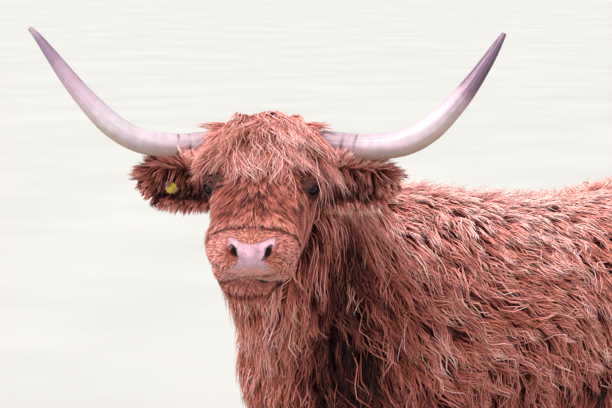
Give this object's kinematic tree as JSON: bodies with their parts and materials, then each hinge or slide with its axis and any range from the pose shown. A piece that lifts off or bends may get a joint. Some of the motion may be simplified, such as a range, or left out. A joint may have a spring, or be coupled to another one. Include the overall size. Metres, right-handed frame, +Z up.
{
  "type": "highland cow",
  "caption": "Life-size red highland cow standing with its head turned to its left, long upswept horns and a shaggy coat.",
  "frame": {"origin": "centre of the bounding box on the floor under the hooves", "axes": "+X the way the body faces, +Y the cow's left, +Z up"},
  "size_m": [2.1105, 0.8652, 1.4741],
  "materials": {
    "coat": "long hair",
    "horn": "satin horn",
    "hoof": "satin horn",
    "eye": "wet gloss",
    "tag": "satin"
  },
  "bodies": {
    "root": {"head": "coat", "neck": "coat", "torso": "coat", "tail": "coat", "leg_front_left": "coat", "leg_front_right": "coat", "leg_hind_left": "coat", "leg_hind_right": "coat", "ear_left": "coat", "ear_right": "coat", "horn_left": "horn", "horn_right": "horn", "eye_left": "eye", "eye_right": "eye", "claw_front_left_inner": "hoof", "claw_front_left_outer": "hoof", "claw_front_right_inner": "hoof", "claw_front_right_outer": "hoof", "claw_hind_left_inner": "hoof", "claw_hind_left_outer": "hoof", "claw_hind_right_inner": "hoof", "claw_hind_right_outer": "hoof", "ear_tag": "tag"}
  },
  "joints": []
}
